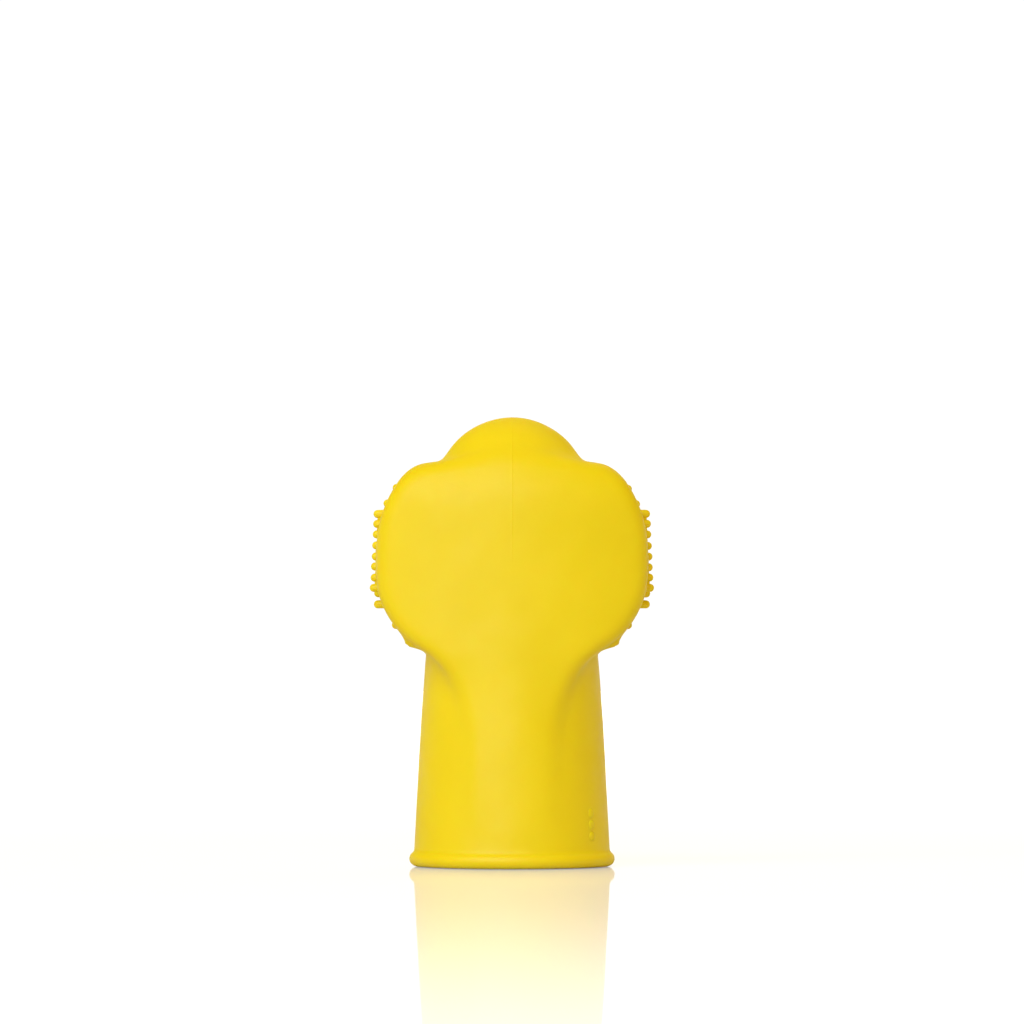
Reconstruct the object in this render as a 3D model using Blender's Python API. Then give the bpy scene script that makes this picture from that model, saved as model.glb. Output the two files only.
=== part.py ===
"""Finger toothbrush: a soft thimble with a smooth crowned back and a pad of bristles on its far side.

Metres, +Z from the open mouth to the fingertip. The origin is the centre of the mouth, the smooth back faces
-Y, and the bristles face +X, +Y and -X. The members are split from each other by GAP.
"""

from math import asin, cos, exp, hypot, log, pi, sin, sqrt

import bmesh
import bpy
from mathutils import Vector

MM = 0.001
GAP = 0.3 * MM  # between neighbouring solids

# Sleeve: a tapered tube round the finger.
MOUTH_RADIUS = 12.0 * MM
NECK_RADIUS = 10.4 * MM
NECK_HEIGHT = 26.3 * MM
TAPER_POWER = 0.8  # below 1 the taper quickens towards the neck
WALL = 1.5 * MM

# Head: the sleeve goes on through it as a thinner liner, closed by the dome.
TIP_HEIGHT = 54.5 * MM
DOME_RADIUS = 9.35 * MM
DOME_CENTRE = TIP_HEIGHT - DOME_RADIUS
LINER_END = DOME_CENTRE - 1.0 * MM
HEAD_BORE = DOME_RADIUS + GAP  # the hood's and the pad's bore, which closes in with the dome

# Bead round the mouth.
BEAD_RADIUS = 12.5 * MM
BEAD_HEIGHT = 1.85 * MM

# Hood: the smooth back of the head. Its outline is a half-width at each height.
HOOD_CROWN = 35.0 * MM  # radius of the crowned face, across the finger
HOOD_REAR = -3.3 * MM  # the flat rear of its wings
HOOD_DEPTH = 10.9 * MM  # from the finger's axis to the middle of the face
HOOD_OUTLINE = (
    (26.6, 11.1),
    (27.4, 12.2),
    (28.6, 13.6),
    (30.2, 14.8),
    (32.2, 15.8),
    (34.6, 16.3),
    (38.4, 16.4),
    (41.6, 16.1),
    (44.0, 15.3),
    (45.8, 14.2),
    (47.2, 13.1),
    (48.2, 12.0),
    (48.9, 10.8),
)
SHOULDER_HEIGHT = 46.0 * MM  # about here the face turns to lean back, on to the dome
SHOULDER_SLOPE = 0.5
SHOULDER_ROUND = 0.7 * MM

# Tail: the hood's face carried on down the sleeve, as a half-width and how far it stands proud.
TAIL_BOTTOM = 14.0 * MM
TAIL_WIDTH_LOW = 3.6 * MM
TAIL_WIDTH_HIGH = 8.8 * MM
TAIL_PROUD = 0.45 * MM
TAIL_EDGE = 1.8 * MM  # half the width over which its edge falls back to the tube

# Pad: half an ellipse round the far side of the liner, with its corners cut off.
PAD_FRONT = -3.0 * MM
PAD_CENTRE = -2.0 * MM
PAD_HALF_WIDTH = 14.7 * MM
PAD_DEPTH = 12.6 * MM
PAD_OUTLINE = (
    (26.6, 11.35),
    (28.5, 12.6),
    (30.8, 13.6),
    (31.0, 14.32),
    (33.0, 14.7),
    (43.4, 14.7),
    (45.4, 13.4),
    (47.8, 12.0),
)

# Bristles: columns along the finger, every other one half a pitch higher.
COLUMNS = 21
FIRST_COLUMN = 1.0 * MM  # from the hood's side of the pad, along its surface
PITCH = 1.29 * MM
ROW_START = 33.75 * MM  # the lowest bristle of the column beside the hood
EDGE_MARGIN = 0.66 * MM  # least distance from a bristle's axis to the pad's edge
BRISTLE_RADIUS = 0.53 * MM
BRISTLE_REACH = 2.65 * MM  # from the pad's surface to the tip, up to ROW_START
REACH_FALL = 0.05  # how much shorter a bristle is for each unit of height above that
TIP_LENGTH = 0.45 * MM
STRIP_THICKNESS = 0.5 * MM
STRIP_WIDTH = 1.2 * MM
BRISTLE_SIDES = 6

SILICONE = (0.86, 0.62, 0.028, 1.0)
ROUND_STEPS = 96


def clear_scene():
    """Remove whatever the file opened with."""
    for thing in list(bpy.data.objects):
        bpy.data.objects.remove(thing, do_unlink=True)


def silicone(name):
    """A satin yellow rubber for one sub-part."""
    material = bpy.data.materials.new(name + "_silicone")
    material.use_nodes = True
    shader = material.node_tree.nodes["Principled BSDF"]
    shader.inputs["Base Color"].default_value = SILICONE
    shader.inputs["Roughness"].default_value = 0.5
    shader.inputs["Metallic"].default_value = 0.0
    return material


def add_object(name, bm, smooth=True):
    """Make a named object of a bmesh, with its own material and its faces turned out."""
    bmesh.ops.recalc_face_normals(bm, faces=bm.faces)
    mesh = bpy.data.meshes.new(name)
    bm.to_mesh(mesh)
    bm.free()
    if smooth:
        mesh.shade_smooth()
        mesh.set_sharp_from_angle(angle=0.7)
    mesh.materials.append(silicone(name))
    thing = bpy.data.objects.new(name, mesh)
    bpy.context.collection.objects.link(thing)
    return thing


def between(table, height):
    """The half-width, in metres, that a table of millimetres gives at a height."""
    height = height / MM
    for (low, first), (high, second) in zip(table, table[1:]):
        if height <= high:
            part = max(0.0, (height - low) / (high - low))
            return (first + (second - first) * part) * MM
    return table[-1][1] * MM


def loft(bm, rings, closed_ends=True):
    """Skin rings of equal length, each a list of points, and close the two ends."""
    loops = [[bm.verts.new(point) for point in ring] for ring in rings]
    for lower, upper in zip(loops, loops[1:]):
        for i in range(len(lower)):
            j = (i + 1) % len(lower)
            bm.faces.new((lower[i], lower[j], upper[j], upper[i]))
    if closed_ends:
        bm.faces.new(loops[0])
        bm.faces.new(loops[-1])
    return loops


def steps(low, high, count):
    """Evenly spaced values, both ends included."""
    return [low + (high - low) * i / (count - 1) for i in range(count)]


def blend(value):
    """Ease from 0 to 1."""
    value = min(max(value, 0.0), 1.0)
    return value * value * (3.0 - 2.0 * value)


def sleeve_radius(z):
    """Outer radius of the plain tube at a height."""
    fall = max(0.0, 1.0 - z / NECK_HEIGHT) ** TAPER_POWER
    return NECK_RADIUS + (MOUTH_RADIUS - NECK_RADIUS) * fall


def tail_radius(angle, z):
    """Outer radius of the sleeve in a direction measured from -Y, with the tail's crowned face on it."""
    plain = sleeve_radius(z)
    height = (z - TAIL_BOTTOM) / (NECK_HEIGHT - TAIL_BOTTOM)
    if height <= 0.0 or cos(angle) <= 0.0:
        return plain
    proud = TAIL_PROUD * blend(2.0 * height)
    centre = plain + proud - HOOD_CROWN
    reach = centre * cos(angle) + sqrt(HOOD_CROWN**2 - (centre * sin(angle)) ** 2)
    half_width = TAIL_WIDTH_LOW + (TAIL_WIDTH_HIGH - TAIL_WIDTH_LOW) * height**2
    outside = (abs(reach * sin(angle)) - half_width) / TAIL_EDGE
    return plain + max(reach - plain, 0.0) * (1.0 - blend(0.5 + 0.5 * outside))


def sleeve_ring(z):
    """Outer ring of the sleeve: the round tube, with the tail standing on its -Y side."""
    ring = []
    for i in range(ROUND_STEPS):
        angle = 2.0 * pi * i / ROUND_STEPS
        radius = tail_radius(angle + 0.5 * pi, z)
        ring.append((radius * cos(angle), radius * sin(angle), z))
    return ring


def round_ring(radius, z):
    """A plain circle of points at a height."""
    angles = [2.0 * pi * i / ROUND_STEPS for i in range(ROUND_STEPS)]
    return [(radius * cos(a), radius * sin(a), z) for a in angles]


def pocket_radius(z):
    """Inner radius of the finger pocket below the dome."""
    liner = DOME_RADIUS - WALL
    if z >= NECK_HEIGHT + 4.0 * MM:
        return liner
    if z <= NECK_HEIGHT - 2.0 * MM:
        return sleeve_radius(z) - WALL
    part = (z - NECK_HEIGHT + 2.0 * MM) / (6.0 * MM)
    low = sleeve_radius(NECK_HEIGHT - 2.0 * MM) - WALL
    return low + (liner - low) * part


def finger_sleeve():
    """The tapered tube, and the liner that goes on up inside the head."""
    bottom = BEAD_HEIGHT + GAP
    outer = [sleeve_ring(z) for z in (bottom, *steps(TAIL_BOTTOM, NECK_HEIGHT, 10))]
    outer += [round_ring(DOME_RADIUS, NECK_HEIGHT), round_ring(DOME_RADIUS, LINER_END)]
    inner_heights = (LINER_END, NECK_HEIGHT + 4.0 * MM, NECK_HEIGHT - 2.0 * MM, 13.0 * MM, bottom)
    inner = [round_ring(pocket_radius(z), z) for z in inner_heights]
    bm = bmesh.new()
    loops = loft(bm, outer + inner, closed_ends=False)
    close_tube(bm, loops[-1], loops[0])
    return add_object("finger_sleeve", bm)


def close_tube(bm, first, last):
    """Join two loops of one size by a band of faces."""
    for i in range(len(first)):
        j = (i + 1) % len(first)
        bm.faces.new((first[i], first[j], last[j], last[i]))


def mouth_bead():
    """The rolled rim, flat underneath where the brush stands."""
    middle = 0.5 * BEAD_HEIGHT
    round_part = 0.95 * MM
    inside = MOUTH_RADIUS - WALL - 0.1 * MM
    profile = [(inside, BEAD_HEIGHT), (inside, 0.0)]
    for angle in steps(-0.42 * pi, 0.42 * pi, 6):
        radius = BEAD_RADIUS - round_part + round_part * cos(angle)
        profile.append((radius, middle * (1.0 + sin(angle) / sin(0.42 * pi))))
    bm = bmesh.new()
    loops = loft(bm, [round_ring(r, z) for r, z in profile], closed_ends=False)
    close_tube(bm, loops[-1], loops[0])
    return add_object("mouth_bead", bm)


def fingertip_dome():
    """The closed end: half a hollow ball over a short collar."""
    start = LINER_END + GAP
    inner_radius = DOME_RADIUS - WALL
    bm = bmesh.new()
    rings = [round_ring(DOME_RADIUS, start)]
    angles = steps(0.0, 0.5 * pi, 8)[:-1]
    for a in angles:
        rings.append(round_ring(DOME_RADIUS * cos(a), DOME_CENTRE + DOME_RADIUS * sin(a)))
    outer = loft(bm, rings, closed_ends=False)
    inner_rings = [round_ring(inner_radius, start)]
    for a in angles:
        inner_rings.append(round_ring(inner_radius * cos(a), DOME_CENTRE + inner_radius * sin(a)))
    inner = loft(bm, inner_rings, closed_ends=False)
    cap_with_point(bm, outer[-1], TIP_HEIGHT)
    cap_with_point(bm, inner[-1], TIP_HEIGHT - WALL)
    close_tube(bm, inner[0], outer[0])
    return add_object("fingertip_dome", bm)


def cap_with_point(bm, loop, z):
    """Close a loop round the axis by a fan to a point on the axis."""
    point = bm.verts.new((0.0, 0.0, z))
    for i in range(len(loop)):
        bm.faces.new((loop[i], loop[(i + 1) % len(loop)], point))


def bore_radius(z):
    """Radius of the head's bore at a height: straight round the liner, then a gap outside the dome."""
    return sqrt(HEAD_BORE**2 - max(z - DOME_CENTRE, 0.0) ** 2)


def hood_section(z):
    """Outline of the hood at a height: the crowned face, the rounded edges and the bored rear."""
    half = between(HOOD_OUTLINE, z)
    bore = bore_radius(z)
    over = SHOULDER_ROUND * log(1.0 + exp((z - SHOULDER_HEIGHT) / SHOULDER_ROUND))
    depth = HOOD_DEPTH - SHOULDER_SLOPE * over
    edge = 1.1 * MM
    points = []
    for x in steps(-(half - edge), half - edge, 15):
        points.append((x, -depth + x * x / (2.0 * HOOD_CROWN), z))
    side = -depth + half * half / (2.0 * HOOD_CROWN)
    points.append((half - 0.3 * MM, side + 0.35 * MM, z))
    points.append((half, side + 1.1 * MM, z))
    points.append((half - 0.5 * MM, HOOD_REAR, z))
    start = pi - asin(HOOD_REAR / bore)
    stop = 2.0 * pi + asin(HOOD_REAR / bore)
    for angle in steps(stop, start, 17):
        points.append((bore * cos(angle), bore * sin(angle), z))
    points.append((-(half - 0.5 * MM), HOOD_REAR, z))
    points.append((-half, side + 1.1 * MM, z))
    points.append((-(half - 0.3 * MM), side + 0.35 * MM, z))
    return points


def back_hood():
    """The smooth back of the head with its wings and shoulder."""
    bm = bmesh.new()
    loft(bm, [hood_section(height * MM) for height, _ in HOOD_OUTLINE])
    return add_object("back_hood", bm)


def pad_point(t):
    """A point of the pad's curved side, and its outward direction, at an ellipse angle."""
    place = Vector((PAD_HALF_WIDTH * cos(t), PAD_CENTRE + PAD_DEPTH * sin(t), 0.0))
    outward = Vector((cos(t) / PAD_HALF_WIDTH, sin(t) / PAD_DEPTH, 0.0)).normalized()
    return place, outward


def pad_section(z):
    """Outline of the pad at a height: the half ellipse, cut at the sides, and the bore."""
    half = between(PAD_OUTLINE, z)
    first = asin((PAD_FRONT - PAD_CENTRE) / PAD_DEPTH)
    points = []
    for t in steps(first, pi - first, 41):
        place, _ = pad_point(t)
        points.append((min(max(place.x, -half), half), place.y, z))
    bore = bore_radius(z)
    start = pi - asin(PAD_FRONT / bore)
    stop = asin(PAD_FRONT / bore)
    for angle in steps(start, stop, 25):
        points.append((bore * cos(angle), bore * sin(angle), z))
    return points


def bristle_pad():
    """The far side of the head, which the bristles stand on."""
    bm = bmesh.new()
    loft(bm, [pad_section(height * MM) for height, _ in PAD_OUTLINE])
    return add_object("bristle_pad", bm)


def column_angles():
    """Ellipse angles of the columns, evenly spaced along the pad's surface."""
    samples = steps(0.0, pi, 2001)
    places = [pad_point(t)[0] for t in samples]
    lengths = [0.0]
    for first, second in zip(places, places[1:]):
        lengths.append(lengths[-1] + hypot(second.x - first.x, second.y - first.y))
    wanted = steps(FIRST_COLUMN, lengths[-1] - FIRST_COLUMN, COLUMNS)[: COLUMNS // 2]
    side = [next(t for t, s in zip(samples, lengths) if s >= length) for length in wanted]
    return [*side, 0.5 * pi, *(pi - t for t in reversed(side))]


def pad_limits(x):
    """Lowest and highest height of the pad's surface at a distance from the middle."""
    heights = [z * MM for z in steps(PAD_OUTLINE[0][0], PAD_OUTLINE[-1][0], 201)]
    inside = [z for z in heights if between(PAD_OUTLINE, z) >= abs(x) - 1e-6]
    return inside[0], inside[-1]


def bristle_heights(index, x):
    """Heights of the bristles of one column."""
    low, high = pad_limits(x)
    offset = 0.5 * PITCH * (index % 2)
    rows = [ROW_START + offset + PITCH * n for n in range(-8, 14)]
    return [z for z in rows if low + EDGE_MARGIN <= z <= high - EDGE_MARGIN]


def bristle_column(index, t):
    """One column: a thin strip on the pad, with a bristle standing on each cell of it."""
    place, outward = pad_point(t)
    along = Vector((-outward.y, outward.x, 0.0))
    heights = bristle_heights(index, place.x)
    floor = GAP
    top = GAP + STRIP_THICKNESS
    bm = bmesh.new()

    def vertex(side, out, z):
        point = place + along * side + outward * out
        return bm.verts.new((point.x, point.y, z))

    half = 0.5 * STRIP_WIDTH
    edges = [heights[0] - 0.5 * PITCH] + [z + 0.5 * PITCH for z in heights]
    left = [vertex(-half, top, z) for z in edges]
    right = [vertex(half, top, z) for z in edges]
    base = [vertex(-half, floor, edges[0]), vertex(half, floor, edges[0])]
    crest = [vertex(-half, floor, edges[-1]), vertex(half, floor, edges[-1])]
    bm.faces.new([left[0], right[0], base[1], base[0]])
    bm.faces.new([left[-1], crest[0], crest[1], right[-1]])
    bm.faces.new([base[0], base[1], crest[1], crest[0]])
    bm.faces.new([base[0], crest[0], *reversed(left)])
    bm.faces.new([base[1], *right, crest[1]])
    for i, z in enumerate(heights):
        reach = BRISTLE_REACH - REACH_FALL * max(z - ROW_START, 0.0)
        shoulder = reach - TIP_LENGTH
        angles = [pi / 6.0 + 2.0 * pi * n / BRISTLE_SIDES for n in range(BRISTLE_SIDES)]
        ring = [(BRISTLE_RADIUS * cos(a), BRISTLE_RADIUS * sin(a)) for a in angles]
        root = [vertex(u, top, z + v) for u, v in ring]
        end = [vertex(u * 0.9, shoulder, z + v * 0.9) for u, v in ring]
        tip = vertex(0.0, reach, z)
        for n in range(BRISTLE_SIDES):
            m = (n + 1) % BRISTLE_SIDES
            bm.faces.new((root[n], root[m], end[m], end[n]))
            bm.faces.new((end[n], end[m], tip))
        # The cell's frame, between the strip's corners and the bristle's six-sided root.
        bm.faces.new((right[i + 1], left[i + 1], root[2], root[1], root[0]))
        bm.faces.new((left[i + 1], left[i], root[3], root[2]))
        bm.faces.new((left[i], right[i], root[5], root[4], root[3]))
        bm.faces.new((right[i], right[i + 1], root[0], root[5]))
    bmesh.ops.triangulate(bm, faces=bm.faces)
    return add_object(f"bristle_column_{index + 1:02d}", bm)


def main():
    """Build every member of the brush."""
    clear_scene()
    mouth_bead()
    finger_sleeve()
    fingertip_dome()
    back_hood()
    bristle_pad()
    for index, t in enumerate(column_angles()):
        bristle_column(index, t)


main()
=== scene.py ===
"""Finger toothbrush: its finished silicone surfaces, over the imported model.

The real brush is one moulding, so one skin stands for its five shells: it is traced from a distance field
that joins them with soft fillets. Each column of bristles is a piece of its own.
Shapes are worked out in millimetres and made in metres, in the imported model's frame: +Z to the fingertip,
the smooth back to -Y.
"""

import random
from math import cos, hypot, pi, radians, sin

import bpy
import numpy as np
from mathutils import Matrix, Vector


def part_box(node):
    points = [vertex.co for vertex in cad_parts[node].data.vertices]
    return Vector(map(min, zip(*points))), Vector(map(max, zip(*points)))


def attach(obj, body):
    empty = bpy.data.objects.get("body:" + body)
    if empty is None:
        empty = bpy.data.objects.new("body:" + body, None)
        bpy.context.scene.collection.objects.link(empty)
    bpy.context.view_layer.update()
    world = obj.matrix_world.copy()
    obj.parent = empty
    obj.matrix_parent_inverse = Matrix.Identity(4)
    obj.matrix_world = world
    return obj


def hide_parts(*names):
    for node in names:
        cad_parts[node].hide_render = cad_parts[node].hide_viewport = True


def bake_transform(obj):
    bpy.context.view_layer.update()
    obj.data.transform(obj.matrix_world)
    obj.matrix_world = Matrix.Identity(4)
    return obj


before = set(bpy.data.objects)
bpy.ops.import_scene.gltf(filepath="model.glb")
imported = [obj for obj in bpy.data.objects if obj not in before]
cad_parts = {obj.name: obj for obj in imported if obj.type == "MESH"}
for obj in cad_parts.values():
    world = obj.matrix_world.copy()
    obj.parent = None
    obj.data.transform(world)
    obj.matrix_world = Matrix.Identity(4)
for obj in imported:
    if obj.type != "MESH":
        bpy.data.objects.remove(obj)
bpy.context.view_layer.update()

MM = 0.001
ROOT = "moulded_body"


def corners(node):
    """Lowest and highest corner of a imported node, in millimetres."""
    low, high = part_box(node)
    return np.array(low) / MM, np.array(high) / MM


_, BEAD_HIGH = corners("mouth_bead")
_, DOME_HIGH = corners("fingertip_dome")
HOOD_LOW, _ = corners("back_hood")
PAD_LOW, PAD_HIGH = corners("bristle_pad")

# Sleeve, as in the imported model: a tube whose taper quickens towards the neck. The bead goes round its mouth.
BEAD_RADIUS = BEAD_HIGH[0]
BEAD_HEIGHT = BEAD_HIGH[2]
BEAD_ROUND = 0.92
MOUTH_RADIUS = BEAD_RADIUS - 0.5
NECK_RADIUS = MOUTH_RADIUS - 1.6
NECK_HEIGHT = PAD_LOW[2] - 0.3
TAPER_POWER = 0.8
WALL = 1.5

# Dome.
DOME_RADIUS = DOME_HIGH[0]
TIP_HEIGHT = DOME_HIGH[2]
DOME_CENTRE = TIP_HEIGHT - DOME_RADIUS

# Hood: half-width and height of its outline, seen from the back, with the tail that fades into the sleeve.
HOOD_DEPTH = -HOOD_LOW[1]
HOOD_CROWN = 35.0  # radius of the back's crown
HOOD_ROUND = 1.7
TAIL_CROWN = 11.5  # the tail is as round as the sleeve
TAIL_FADE = 16.0  # from this height down, the tail sinks into the sleeve
TAIL_STEP = 8.0  # down from the neck, the face comes in to the tail over this height
TAIL_TURN = 12.0  # and gets as round as the tail over this one
HOOD_OUTLINE = (
    (0.0, 49.9),
    (6.5, 49.4),
    (8.7, 48.95),
    (11.3, 48.45),
    (13.0, 47.3),
    (14.3, 45.6),
    (15.5, 43.3),
    (16.2, 40.6),
    (16.45, 37.0),
    (16.2, 33.4),
    (15.3, 30.9),
    (13.9, 28.8),
    (12.2, 27.2),
    (10.6, 26.1),
    (9.3, 25.0),
    (7.9, 23.3),
    (6.6, 21.3),
    (5.6, 18.5),
    (5.1, 15.0),
    (4.9, 10.0),
    (4.5, 5.0),
    (0.0, 3.4),
)
LIP_SLOPE = 0.85  # how fast the lip's rear leans forward, out from the pad
LIP_ROUND = 1.0
SHOULDER_HEIGHT = 46.0  # about here the face turns to lean back, on to the dome
SHOULDER_SLOPE = 0.62
SHOULDER_ROUND = 1.0

# Pad: half an ellipse in plan, with an outline of its own.
PAD_CENTRE = -2.0
PAD_HALF_WIDTH = PAD_HIGH[0]
PAD_DEPTH = PAD_HIGH[1] - PAD_CENTRE
PAD_FRONT = PAD_LOW[1]
PAD_ROUND = 1.0
PAD_SUNK = 2.0  # how far the pad goes on into the hood
PAD_OUTLINE = (
    (0.0, 48.7),
    (9.0, 48.5),
    (11.9, 47.7),
    (13.6, 45.6),
    (14.6, 43.2),
    (14.75, 38.5),
    (14.7, 34.0),
    (14.4, 31.5),
    (13.6, 29.7),
    (12.9, 28.4),
    (12.75, 27.3),
    (12.35, 26.8),
    (11.0, 26.7),
    (0.0, 26.7),
)

# Fillets where the members run into one another.
HOOD_FILLET = 1.5
PAD_FILLET = 1.2
DOME_FILLET = 1.8

# Bristles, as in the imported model.
PITCH = 1.29
ROW_START = 33.75  # the lowest bristle of the column beside the hood
BRISTLE_RADIUS = 0.53
BRISTLE_REACH = 2.65
REACH_FALL = 0.05  # for each unit of height above ROW_START, in a column that faces sideways
SIDEWAYS = (0.84, 0.94)  # where the fall starts and is complete: the sideways part of a column's direction
FIRST_COLUMN = 1.0  # from the hood's side of the pad, along its surface
COLUMNS = sorted(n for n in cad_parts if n.startswith("bristle_column_"))

# How they are moulded. No two are quite alike.
REACH_MARGIN = 0.02  # so that luck never makes one longer than its full reach
REACH_LUCK = (-0.05, 0.02)
SIDE_LUCK = 0.03  # how far a bristle may lean sideways, as a share of its reach
RISE_LUCK = 0.035
ROOT_DEPTH = 0.35  # how far a bristle's foot is sunk in the pad
ROOT_FILLET = 0.24
BRISTLE_SIDES = 14

# Size mark: three pips, one above another, low on the right of the back.
PIP_RADIUS = 0.6
PIP_RISE = 0.14
PIP_ANGLE = -35.0
PIP_HEIGHTS = (3.8, 5.2, 6.6)
PIP_SIDES = 24

# Skin: its fineness round about, and the rays that trace it, which start on the middle line.
SKIN_COLUMNS = 312
FINE_ANGLES = ((-14.0, 4.0, 4.0), (194.0, 4.0, 4.0), (270.0, 1.1, 9.0))  # degrees: where, how wide, how fine
LEVEL_TOP = 22.5  # up to here the rays are level
LEVEL_STEP = 0.4
PIVOT_RADIUS = 14.5  # then they tilt down more and more, and cross about here, below the wings
PIVOT_HEIGHT = 22.9
PIVOT_RISE = 0.6
FAN_TILT = 45.0
FAN_ROWS = 25
HEAD_TILT = 54.0  # then they fan out from one point in the head, up to here in fine rows
HEAD_ROWS = 127
LAST_TILT = 88.6
LAST_ROWS = 26
RAY_REACH = 40.0  # past the skin in every direction
HALVINGS = 30

# Moulding line, a fine ridge up the middle of the back.
LINE_WIDTH = 0.10
LINE_RISE = 0.015
LINE_START = 34.0

# Silicone: its colours, and its roughness as greys.
DEEP_YELLOW = (0.768, 0.632, 0.003, 1.0)
PALE_YELLOW = (0.804, 0.662, 0.006, 1.0)
RUBBED = (0.40, 0.40, 0.40, 1.0)
MATT = (0.52, 0.52, 0.52, 1.0)

# Studio, in metres.
KEY_POWER = 1.75
KEY_COLOUR = (0.91, 1.0, 1.45)
BACK_POWER = 0.5
SURROUND = (0.69, 0.50, 0.08, 1.0)
WORLD_STRENGTH = 1.05
WHITE = (1.0, 1.0, 1.0, 1.0)
BACKDROP = (0.90, 0.985)  # how far a direction points to the back, where the white starts and is full
HORIZON = (0.11, 0.06)  # how far a direction points up, where the low white band starts and is full
FLOOR_REACH = 3.0
FLOOR_DROP = 0.00005  # it lies this far under the brush
FLOOR_GREY = 0.72
FLOOR_GLOW = 0.90  # seen by the camera only
MIRROR_NEAR = (0.58, 0.08)  # distances from the brush, where the strong part of the mirror starts and is full
MIRROR_WIDE = (0.75, 0.45)  # and the weak part
MIRROR_SHARES = (0.64, 0.19)

# Camera, in metres.
LENS = 235.0  # in millimetres
VIEW_WIDTH = 0.12445  # at the brush
EYE_HEIGHT = 0.027
AIM_HEIGHT = 0.043


# Shape of the moulding -------------------------------------------------------------------------------------


def smooth_union(a, b, reach):
    """Join two distance fields with a fillet."""
    share = np.clip(0.5 + 0.5 * (b - a) / reach, 0.0, 1.0)
    return b + (a - b) * share - reach * share * (1.0 - share)


def smooth_cut(a, b, reach):
    """Keep what is inside both fields, with a rounded edge."""
    return -smooth_union(-a, -b, reach)


def ease(value):
    """Ease from 0 to 1."""
    value = np.clip(value, 0.0, 1.0)
    return value * value * (3.0 - 2.0 * value)


def curve_through(points, per_span=6):
    """A smooth curve through the points (Catmull-Rom), from the first to the last."""
    points = np.array(points, float)
    padded = np.vstack([2.0 * points[0] - points[1], points, 2.0 * points[-1] - points[-2]])
    out = []
    for i in range(len(points) - 1):
        a, b, c, d = padded[i : i + 4]
        for t in np.arange(per_span) / per_span:
            bend = (2 * a - 5 * b + 4 * c - d) * t * t + (3 * b - a - 3 * c + d) * t**3
            out.append(0.5 * (2 * b + (c - a) * t + bend))
    out.append(points[-1])
    return np.array(out)


class Outline:
    """Signed distance to an outline of half-widths and falling heights, mirrored in the middle plane.

    It is worked out once, on a grid that is wider and taller than the brush.
    """

    step = 0.08
    width = 22.0
    height = 62.0

    def __init__(self, points):
        line = curve_through(points)
        self.line = line
        self.xs = np.arange(0.0, self.width, self.step)
        self.zs = np.arange(0.0, self.height, self.step)
        x, z = np.meshgrid(self.xs, self.zs, indexing="ij")
        best = np.full(x.shape, 1e9)
        for (ax, az), (bx, bz) in zip(line, line[1:]):
            dx, dz = bx - ax, bz - az
            t = np.clip(((x - ax) * dx + (z - az) * dz) / (dx * dx + dz * dz + 1e-12), 0.0, 1.0)
            best = np.minimum(best, np.hypot(x - ax - t * dx, z - az - t * dz))
        inside = (x < self.half_width(z)) & (z > line[:, 1].min()) & (z < line[:, 1].max())
        self.grid = np.where(inside, -best, best)

    def half_width(self, z):
        """Half the outline's width at a height."""
        return np.interp(z, self.line[::-1, 1], self.line[::-1, 0])

    def distance(self, x, z):
        """Distance to the outline, read off the grid."""
        u = np.clip(np.abs(x) / self.step, 0, len(self.xs) - 1.001)
        v = np.clip(z / self.step, 0, len(self.zs) - 1.001)
        i, j = u.astype(int), v.astype(int)
        u, v = u - i, v - j
        g = self.grid
        low = g[i, j] * (1 - u) + g[i + 1, j] * u
        high = g[i, j + 1] * (1 - u) + g[i + 1, j + 1] * u
        return low * (1 - v) + high * v


HOOD = Outline(HOOD_OUTLINE)
PAD = Outline(PAD_OUTLINE)


def sleeve_radius(z):
    """Outer radius of the plain tube, which goes on inside the head."""
    fall = np.clip(1.0 - z / NECK_HEIGHT, 0.0, None) ** TAPER_POWER
    below = NECK_RADIUS + (MOUTH_RADIUS - NECK_RADIUS) * fall
    return below - (NECK_RADIUS - DOME_RADIUS + 0.4) * ease((z - NECK_HEIGHT - 1.0) / 6.0)


def hood_face(x, z):
    """Y of the crowned back, which sinks into the sleeve at the tail and leans on to the dome at the top."""
    over = SHOULDER_ROUND * np.log1p(np.exp((z - SHOULDER_HEIGHT) / SHOULDER_ROUND))
    tail = sleeve_radius(z) - 0.1 - 0.75 * ease((TAIL_FADE - z) / TAIL_FADE)
    depth = HOOD_DEPTH + (tail - HOOD_DEPTH) * ease((NECK_HEIGHT - z) / TAIL_STEP) - SHOULDER_SLOPE * over
    curve = 1.0 / HOOD_CROWN + (1.0 / TAIL_CROWN - 1.0 / HOOD_CROWN) * ease((NECK_HEIGHT - z) / TAIL_TURN)
    return -depth + 0.5 * curve * x * x


def hood_distance(x, y, z):
    """Distance field of the hood, with the lip round its rear.

    The face leans, so depths under it count for a little less.
    """
    outline = HOOD.distance(x, z)
    face = (hood_face(x, z) - y) * 0.95
    pad_width = PAD.half_width(np.clip(z, PAD_LOW[2] + 0.4, PAD_HIGH[2]))
    rear = PAD_FRONT - LIP_SLOPE * np.clip(np.abs(x) - pad_width, 0.0, None)
    solid = smooth_cut(outline, face, HOOD_ROUND)
    return smooth_cut(solid, (y - rear) / hypot(1.0, LIP_SLOPE), LIP_ROUND)


def pad_distance(x, y, z):
    """Distance field of the pad: its plan, cut to its outline."""
    over = np.clip(y - PAD_CENTRE, 0.0, None)
    share = np.hypot(x / PAD_HALF_WIDTH, over / PAD_DEPTH)
    slope = np.hypot(x / PAD_HALF_WIDTH**2, over / PAD_DEPTH**2)
    plan = share * (share - 1.0) / np.maximum(slope, 1e-6)
    solid = smooth_cut(plan, PAD.distance(x, z), PAD_ROUND)
    return np.maximum(solid, PAD_FRONT - PAD_SUNK - y)


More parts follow.
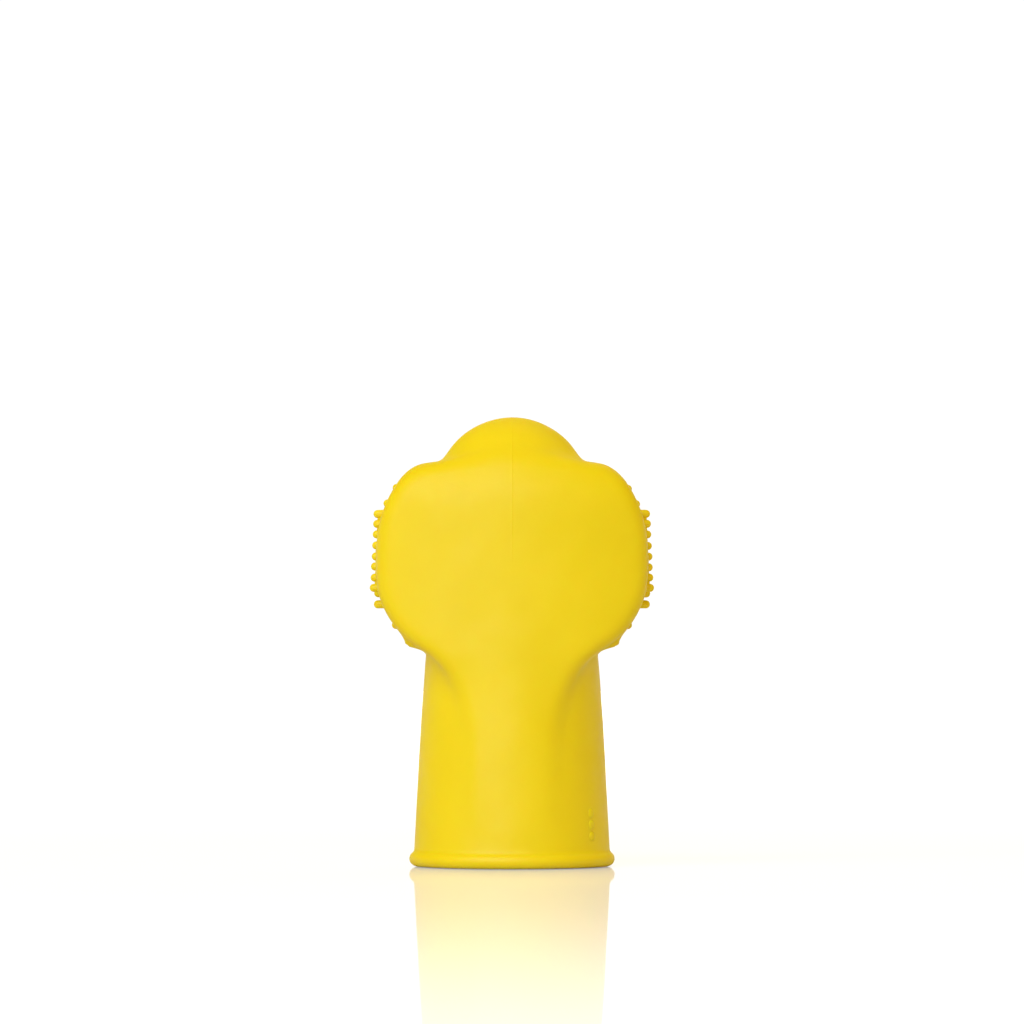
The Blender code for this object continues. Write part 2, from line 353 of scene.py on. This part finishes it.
def body_distance(p):
    """Distance field of the whole moulding above the bead, less than 0 inside."""
    x, y, z = p[..., 0], p[..., 1], p[..., 2]
    r = np.hypot(x, y)
    sleeve = smooth_cut(r - sleeve_radius(z), z - DOME_CENTRE, 1.0)
    dome = np.sqrt(r * r + (z - DOME_CENTRE) ** 2) - DOME_RADIUS
    body = smooth_union(sleeve, hood_distance(x, y, z), HOOD_FILLET)
    body = smooth_union(body, pad_distance(x, y, z), PAD_FILLET)
    return smooth_union(body, dome, DOME_FILLET)


def skin_angles():
    """Directions of the skin's columns, closer together where the lip and the moulding line are."""
    samples = np.linspace(-90.0, 270.0, 7201)
    density = np.ones_like(samples)
    for where, width, gain in FINE_ANGLES:
        for turn in (-360.0, 0.0, 360.0):
            density += gain * np.exp(-(((samples - where - turn) / width) ** 2))
    total = np.concatenate([[0.0], np.cumsum(0.5 * (density[1:] + density[:-1]))])
    wanted = np.arange(SKIN_COLUMNS) / SKIN_COLUMNS * total[-1]
    return np.radians(np.interp(wanted, total, samples))


def ray_rows():
    """Start height and tilt of each row of rays: level up the sleeve, then fanned out from in the head."""
    rows = [(z, 0.0) for z in np.arange(BEAD_HEIGHT + 0.35, LEVEL_TOP, LEVEL_STEP)]
    for share in np.linspace(0.0, 1.0, FAN_ROWS + 1)[1:]:
        tilt = -radians(FAN_TILT) * share
        rows.append((PIVOT_HEIGHT + PIVOT_RISE * share - PIVOT_RADIUS * np.tan(tilt), tilt))
    head = rows[-1][0]
    around = np.linspace(-FAN_TILT, HEAD_TILT, HEAD_ROWS + 1)[1:]
    over = np.linspace(HEAD_TILT, LAST_TILT, LAST_ROWS + 1)[1:]
    return rows + [(head, radians(tilt)) for tilt in (*around, *over)]


def traced_rings():
    """Rings of the outer skin: where the rays come out of the moulding, found by halving."""
    angles = skin_angles()
    starts, tilts = np.array(ray_rows()).T
    aim = np.zeros((len(starts), len(angles), 3))
    aim[..., 0] = np.cos(angles)[None, :] * np.cos(tilts)[:, None]
    aim[..., 1] = np.sin(angles)[None, :] * np.cos(tilts)[:, None]
    aim[..., 2] = np.sin(tilts)[:, None]
    origin = np.zeros_like(aim)
    origin[..., 2] = starts[:, None]
    low = np.zeros(aim.shape[:2])
    high = np.full(aim.shape[:2], RAY_REACH)
    for _ in range(HALVINGS):
        middle = 0.5 * (low + high)
        inside = body_distance(origin + aim * middle[..., None]) < 0.0
        low = np.where(inside, middle, low)
        high = np.where(inside, high, middle)
    return origin + aim * low[..., None]


def surface_ripple(p):
    """The faint unevenness of a soft moulding, and its moulding line, as a height over the surface."""
    x, y, z = p[..., 0], p[..., 1], p[..., 2]
    ripple = 0.020 * np.sin(0.61 * x + 0.9) * np.sin(0.47 * z + 0.4)
    ripple += 0.012 * np.sin(1.07 * x - 0.8 * z + 2.0) * np.sin(0.83 * y + 0.35 * z)
    line = np.exp(-((x / LINE_WIDTH) ** 2)) * (y < 0.0) * ease((z - LINE_START) / 6.0)
    return ripple * ease((z - 3.0) / 4.0) + LINE_RISE * line


def pocket_radius(z):
    """Radius of the finger pocket below the dome."""
    liner = DOME_RADIUS - WALL
    tube = sleeve_radius(np.minimum(z, NECK_HEIGHT)) - WALL
    return tube + (liner - tube) * ease((z - NECK_HEIGHT + 3.0) / 8.0)


def pocket_rings(angles):
    """Rings from the pocket's end down to the mouth, over its lip and up round the bead."""
    profile = []
    reach = DOME_RADIUS - WALL
    for tilt in np.linspace(86.0, 4.0, 16):
        profile.append((reach * cos(radians(tilt)), DOME_CENTRE + reach * sin(radians(tilt))))
    for z in np.linspace(DOME_CENTRE, 1.2, 26):
        profile.append((float(pocket_radius(z)), z))
    inside = profile[-1][0]
    profile += [(inside + 0.02, 0.6), (inside + 0.12, 0.2), (inside + 0.38, 0.0)]
    middle = BEAD_RADIUS - BEAD_ROUND
    profile.append((middle - 0.15, 0.0))
    for turn in np.linspace(-76.0, 58.0, 13):
        a = radians(turn)
        profile.append((middle + BEAD_ROUND * cos(a), 0.5 * BEAD_HEIGHT + BEAD_ROUND * sin(a)))
    profile.append((float(sleeve_radius(BEAD_HEIGHT)) + 0.03, BEAD_HEIGHT + 0.06))
    r, z = np.array(profile).T
    ring = np.zeros((len(r), len(angles), 3))
    ring[..., 0] = r[:, None] * np.cos(angles)[None, :]
    ring[..., 1] = r[:, None] * np.sin(angles)[None, :]
    ring[..., 2] = z[:, None]
    return ring


def grid_normals(points):
    """Outward directions of a grid of rings."""
    along = np.roll(points, -1, axis=1) - np.roll(points, 1, axis=1)
    up = np.gradient(points, axis=0)
    normal = np.cross(along, up)
    return normal / np.maximum(np.linalg.norm(normal, axis=-1, keepdims=True), 1e-12)


def silicone_skin():
    """The closed skin: up the pocket's wall from its end to the mouth, round the bead and up the outside."""
    angles = skin_angles()
    outer = traced_rings()
    outer = outer + grid_normals(outer) * surface_ripple(outer)[..., None]
    rings = np.concatenate([pocket_rings(angles), outer])
    count, width = rings.shape[:2]
    ends = np.array([(0.0, 0.0, TIP_HEIGHT - WALL), (0.0, 0.0, TIP_HEIGHT)])
    points = np.concatenate([rings.reshape(-1, 3), ends]) * MM
    faces = []
    for row in range(count - 1):
        for column in range(width):
            a = row * width + column
            b = row * width + (column + 1) % width
            faces.append((a, b, b + width, a + width))
    inner_end, outer_end = count * width, count * width + 1
    last = (count - 1) * width
    for column in range(width):
        after = (column + 1) % width
        faces.append((after, column, inner_end))
        faces.append((last + column, last + after, outer_end))
    return add_piece("silicone_moulding", points, faces)


def add_piece(name, points, faces):
    """A smooth mesh object from points in metres and faces."""
    mesh = bpy.data.meshes.new(name)
    mesh.from_pydata([tuple(p) for p in points], [], faces)
    mesh.validate()
    mesh.shade_smooth()
    thing = bpy.data.objects.new(name, mesh)
    bpy.context.collection.objects.link(thing)
    return thing


# Bristles --------------------------------------------------------------------------------------------------


def pad_point(t):
    """A point of the pad's curved side, and its outward direction, at an ellipse angle."""
    place = np.array((PAD_HALF_WIDTH * cos(t), PAD_CENTRE + PAD_DEPTH * sin(t), 0.0))
    outward = np.array((cos(t) / PAD_HALF_WIDTH, sin(t) / PAD_DEPTH, 0.0))
    return place, outward / np.linalg.norm(outward)


def column_angles():
    """Ellipse angles of the columns, evenly spaced along the pad's surface."""
    samples = np.linspace(0.0, pi, 2001)
    places = np.array([pad_point(t)[0] for t in samples])
    lengths = np.concatenate([[0.0], np.cumsum(np.linalg.norm(np.diff(places, axis=0), axis=1))])
    wanted = np.linspace(FIRST_COLUMN, lengths[-1] - FIRST_COLUMN, len(COLUMNS))
    return np.interp(wanted, lengths, samples)


def bristle_profile(reach):
    """Radius and distance out of a bristle: its foot in the pad, a small fillet, the shaft and the tip."""
    tip = BRISTLE_RADIUS * 0.97
    foot = BRISTLE_RADIUS + ROOT_FILLET
    profile = [(foot + 0.02, -ROOT_DEPTH), (foot, -0.02)]
    for turn in (25.0, 50.0, 75.0):
        a = radians(turn)
        profile.append((foot - ROOT_FILLET * sin(a), ROOT_FILLET * (1.0 - cos(a))))
    profile.append((BRISTLE_RADIUS * 0.99, 0.8))
    for turn in np.linspace(0.0, 80.0, 5):
        a = radians(turn)
        profile.append((tip * cos(a), reach - tip + tip * sin(a)))
    return profile


def turned(points, faces, place, axes, profile, sides):
    """Add a form turned round the first of three axes, open at its outer end.

    It gives back the number of its last ring's first point.
    """
    outward, across, up = axes
    first = len(points)
    for radius, out in profile:
        for n in range(sides):
            a = 2.0 * pi * n / sides
            points.append(place + outward * out + (across * cos(a) + up * sin(a)) * radius)
    for ring in range(len(profile) - 1):
        for n in range(sides):
            a = first + ring * sides + n
            b = first + ring * sides + (n + 1) % sides
            faces.append((a, b, b + sides, a + sides))
    faces.append(tuple(first + n for n in reversed(range(sides))))
    return first + (len(profile) - 1) * sides


def bristle(points, faces, place, axes, reach):
    """Add one closed bristle to the lists, standing at a place along the first of three axes."""
    last = turned(points, faces, place, axes, bristle_profile(reach), BRISTLE_SIDES)
    points.append(place + axes[0] * reach)
    for n in range(BRISTLE_SIDES):
        faces.append((last + n, last + (n + 1) % BRISTLE_SIDES, len(points) - 1))


def bristle_column(node, t, luck):
    """The bristles of one column, straight out of the pad's side, each with a small lean of its own."""
    low, high = corners(node)
    place, outward = pad_point(t)
    across = np.array((-outward[1], outward[0], 0.0))
    count = round((high[2] - low[2]) / PITCH)
    fall = np.interp(abs(outward[0]), SIDEWAYS, (0.0, REACH_FALL))
    points, faces = [], []
    for n in range(count):
        z = low[2] + PITCH * (n + 0.5)
        reach = BRISTLE_REACH - fall * max(z - ROW_START, 0.0) - REACH_MARGIN + luck.uniform(*REACH_LUCK)
        lean = outward + across * luck.uniform(-SIDE_LUCK, SIDE_LUCK)
        lean += np.array((0, 0, luck.uniform(-RISE_LUCK, RISE_LUCK)))
        lean /= np.linalg.norm(lean)
        side = np.cross((0.0, 0.0, 1.0), lean)
        side /= np.linalg.norm(side)
        bristle(points, faces, place + np.array((0, 0, z)), (lean, side, np.cross(lean, side)), reach)
    piece = add_piece(node.replace("column", "row"), np.array(points) * MM, faces)
    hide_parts(node)
    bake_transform(piece)
    return piece


# A small generic size mark ---------------------------------------------------------------------------------


def pip_profile():
    """Radius and height of a pip, from its foot in the sleeve to the flat of its top."""
    rises = [(PIP_RADIUS, -0.3)]
    for share in (1.0, 0.98, 0.92, 0.82, 0.67, 0.45, 0.2):
        rises.append((PIP_RADIUS * share, PIP_RISE * (1.0 - share**4) ** 0.7))
    return rises


def size_mark():
    """Three plain raised pips, one above another, low on the sleeve's right."""
    angle = radians(PIP_ANGLE)
    outward = np.array((cos(angle), sin(angle), 0.0))
    across = np.array((-sin(angle), cos(angle), 0.0))
    up = np.array((0.0, 0.0, 1.0))
    points, faces = [], []
    for z in PIP_HEIGHTS:
        place = outward * float(sleeve_radius(z)) + up * z
        last = turned(points, faces, place, (outward, across, up), pip_profile(), PIP_SIDES)
        faces.append(tuple(range(last, last + PIP_SIDES)))
    return add_piece("size_mark", np.array(points) * MM, faces)


# Materials -------------------------------------------------------------------------------------------------


def silicone():
    """Pigmented silicone rubber: satin, slightly translucent, with a fine matt grain and handling marks."""
    material = bpy.data.materials.new("yellow_silicone")
    material.use_nodes = True
    nodes = material.node_tree.nodes
    links = material.node_tree.links
    shader = nodes["Principled BSDF"]
    where = nodes.new("ShaderNodeTexCoord")

    def noise(scale, detail, roughness=0.5):
        node = nodes.new("ShaderNodeTexNoise")
        node.inputs["Scale"].default_value = scale
        node.inputs["Detail"].default_value = detail
        node.inputs["Roughness"].default_value = roughness
        links.new(where.outputs["Object"], node.inputs["Vector"])
        return node

    def ramp(source, stops):
        node = nodes.new("ShaderNodeValToRGB")
        for element, (place, colour) in zip(node.color_ramp.elements, stops):
            element.position = place
            element.color = colour
        links.new(source, node.inputs["Fac"])
        return node.outputs["Color"]

    cloud = noise(95.0, 3.0)
    colour = ramp(cloud.outputs["Fac"], ((0.3, DEEP_YELLOW), (0.7, PALE_YELLOW)))
    links.new(colour, shader.inputs["Base Color"])
    patch = noise(420.0, 4.0, 0.6)
    roughness = ramp(patch.outputs["Fac"], ((0.3, RUBBED), (0.72, MATT)))
    links.new(roughness, shader.inputs["Roughness"])
    grain = noise(9000.0, 2.0)
    swell = noise(900.0, 2.0)
    fine = nodes.new("ShaderNodeBump")
    fine.inputs["Strength"].default_value = 0.10
    fine.inputs["Distance"].default_value = 0.00004
    broad = nodes.new("ShaderNodeBump")
    broad.inputs["Strength"].default_value = 0.12
    broad.inputs["Distance"].default_value = 0.0002
    links.new(grain.outputs["Fac"], fine.inputs["Height"])
    links.new(swell.outputs["Fac"], broad.inputs["Height"])
    links.new(fine.outputs["Normal"], broad.inputs["Normal"])
    links.new(broad.outputs["Normal"], shader.inputs["Normal"])
    shader.inputs["IOR"].default_value = 1.41
    shader.inputs["Specular IOR Level"].default_value = 0.42
    shader.inputs["Subsurface Weight"].default_value = 0.35
    shader.inputs["Subsurface Radius"].default_value = (1.0, 0.5, 0.08)
    shader.inputs["Subsurface Scale"].default_value = 0.0012
    return material


# Setting ---------------------------------------------------------------------------------------------------


def math_node(tree, operation, *values):
    """A math node whose inputs are sockets or numbers; its result."""
    node = tree.nodes.new("ShaderNodeMath")
    node.operation = operation
    for slot, value in zip(node.inputs, values):
        if isinstance(value, (int, float)):
            slot.default_value = value
        else:
            tree.links.new(value, slot)
    return node.outputs["Value"]


def fade(tree, value, start, end):
    """Ease a value from 0 at start to 1 at end."""
    node = tree.nodes.new("ShaderNodeMapRange")
    node.interpolation_type = "SMOOTHSTEP"
    node.inputs["From Min"].default_value = start
    node.inputs["From Max"].default_value = end
    tree.links.new(value, node.inputs["Value"])
    return node.outputs["Result"]


def floor():
    """A wide white glossy surface under the brush. Its mirror image fades out all round."""
    mesh = bpy.data.meshes.new("floor")
    edge = FLOOR_REACH
    square = [(-edge, -edge, 0.0), (edge, -edge, 0.0), (edge, edge, 0.0), (-edge, edge, 0.0)]
    mesh.from_pydata(square, [], [(0, 1, 2, 3)])
    thing = bpy.data.objects.new("floor", mesh)
    thing.location.z = -FLOOR_DROP
    bpy.context.collection.objects.link(thing)
    material = bpy.data.materials.new("white_floor")
    material.use_nodes = True
    tree = material.node_tree
    tree.nodes.clear()
    matt = tree.nodes.new("ShaderNodeBsdfDiffuse")
    matt.inputs["Color"].default_value = (FLOOR_GREY, FLOOR_GREY, FLOOR_GREY, 1.0)
    lit = tree.nodes.new("ShaderNodeEmission")
    path = tree.nodes.new("ShaderNodeLightPath")
    glow = math_node(tree, "MULTIPLY", path.outputs["Is Camera Ray"], FLOOR_GLOW)
    tree.links.new(glow, lit.inputs["Strength"])
    base = tree.nodes.new("ShaderNodeAddShader")
    tree.links.new(matt.outputs["BSDF"], base.inputs[0])
    tree.links.new(lit.outputs["Emission"], base.inputs[1])
    mirror = tree.nodes.new("ShaderNodeBsdfGlossy")
    mirror.inputs["Roughness"].default_value = 0.03
    where = tree.nodes.new("ShaderNodeTexCoord")
    distance = tree.nodes.new("ShaderNodeVectorMath")
    distance.operation = "LENGTH"
    tree.links.new(where.outputs["Object"], distance.inputs[0])
    away = distance.outputs["Value"]
    gloss = tree.nodes.new("ShaderNodeFresnel")
    gloss.inputs["IOR"].default_value = 1.45
    near_share, wide_share = MIRROR_SHARES
    wide = math_node(tree, "MULTIPLY", fade(tree, away, *MIRROR_WIDE), wide_share)
    clear = math_node(tree, "MULTIPLY_ADD", fade(tree, away, *MIRROR_NEAR), near_share, wide)
    share = math_node(tree, "MULTIPLY", gloss.outputs["Fac"], clear)
    mix = tree.nodes.new("ShaderNodeMixShader")
    tree.links.new(share, mix.inputs["Fac"])
    tree.links.new(base.outputs["Shader"], mix.inputs[1])
    tree.links.new(mirror.outputs["BSDF"], mix.inputs[2])
    out = tree.nodes.new("ShaderNodeOutputMaterial")
    tree.links.new(mix.outputs["Shader"], out.inputs["Surface"])
    mesh.materials.append(material)


def soft_sun(name, azimuth, elevation, spread, power, colour=WHITE[:3]):
    """A distant lamp, round from -Y by its azimuth and up by its elevation. A wide spread makes it soft."""
    lamp = bpy.data.lights.new(name, "SUN")
    lamp.energy = power
    lamp.color = colour
    lamp.angle = radians(spread)
    thing = bpy.data.objects.new(name, lamp)
    turn, rise = radians(azimuth), radians(elevation)
    toward = Vector((sin(turn) * cos(rise), -cos(turn) * cos(rise), sin(rise)))
    thing.rotation_euler = toward.to_track_quat("Z", "Y").to_euler()
    bpy.context.collection.objects.link(thing)
    return thing


def studio():
    """Soft light: a white backdrop behind the brush, a dim warm surround and a large key at the upper left.

    The camera sees white all round, and so does the floor's mirror, low down.
    """
    world = bpy.data.worlds.new("studio")
    world.use_nodes = True
    tree = world.node_tree
    where = tree.nodes.new("ShaderNodeTexCoord")
    split = tree.nodes.new("ShaderNodeSeparateXYZ")
    tree.links.new(where.outputs["Generated"], split.inputs["Vector"])
    behind = fade(tree, split.outputs["Y"], *BACKDROP)
    path = tree.nodes.new("ShaderNodeLightPath")
    ramp = tree.nodes.new("ShaderNodeValToRGB")
    ramp.color_ramp.elements[0].color = SURROUND
    ramp.color_ramp.elements[1].color = WHITE
    low = fade(tree, split.outputs["Z"], *HORIZON)
    horizon = math_node(tree, "MULTIPLY", low, path.outputs["Is Glossy Ray"])
    mirrored = math_node(tree, "MAXIMUM", behind, horizon)
    white = math_node(tree, "MAXIMUM", mirrored, path.outputs["Is Camera Ray"])
    tree.links.new(white, ramp.inputs["Fac"])
    tree.links.new(ramp.outputs["Color"], tree.nodes["Background"].inputs["Color"])
    tree.nodes["Background"].inputs["Strength"].default_value = WORLD_STRENGTH
    bpy.context.scene.world = world
    soft_sun("key", -24.0, 29.0, 60.0, KEY_POWER, KEY_COLOUR)
    back = soft_sun("back", 165.0, 38.0, 50.0, BACK_POWER)
    back.visible_glossy = False
    bpy.context.scene.view_settings.view_transform = "Standard"


def camera():
    """A long lens, level with the brush's middle and tipped up a little, straight at the smooth back."""
    data = bpy.data.cameras.new("camera")
    data.lens = LENS
    thing = bpy.data.objects.new("camera", data)
    distance = data.lens / data.sensor_width * VIEW_WIDTH
    aim = Vector((0.0, 0.0, AIM_HEIGHT))
    thing.location = (0.0, -distance, EYE_HEIGHT)
    thing.rotation_euler = (aim - thing.location).to_track_quat("-Z", "Y").to_euler()
    bpy.context.collection.objects.link(thing)
    bpy.context.scene.camera = thing


def main():
    """Make every piece, then the setting."""
    rubber = silicone()
    skin = silicone_skin()
    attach(skin, ROOT)
    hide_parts("mouth_bead", "finger_sleeve", "fingertip_dome", "back_hood", "bristle_pad")
    mark = size_mark()
    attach(mark, ROOT)
    luck = random.Random(7)
    rows = [bristle_column(node, t, luck) for node, t in zip(COLUMNS, column_angles())]
    for piece in (skin, mark, *rows):
        piece.data.materials.append(rubber)
    floor()
    studio()
    camera()


main()
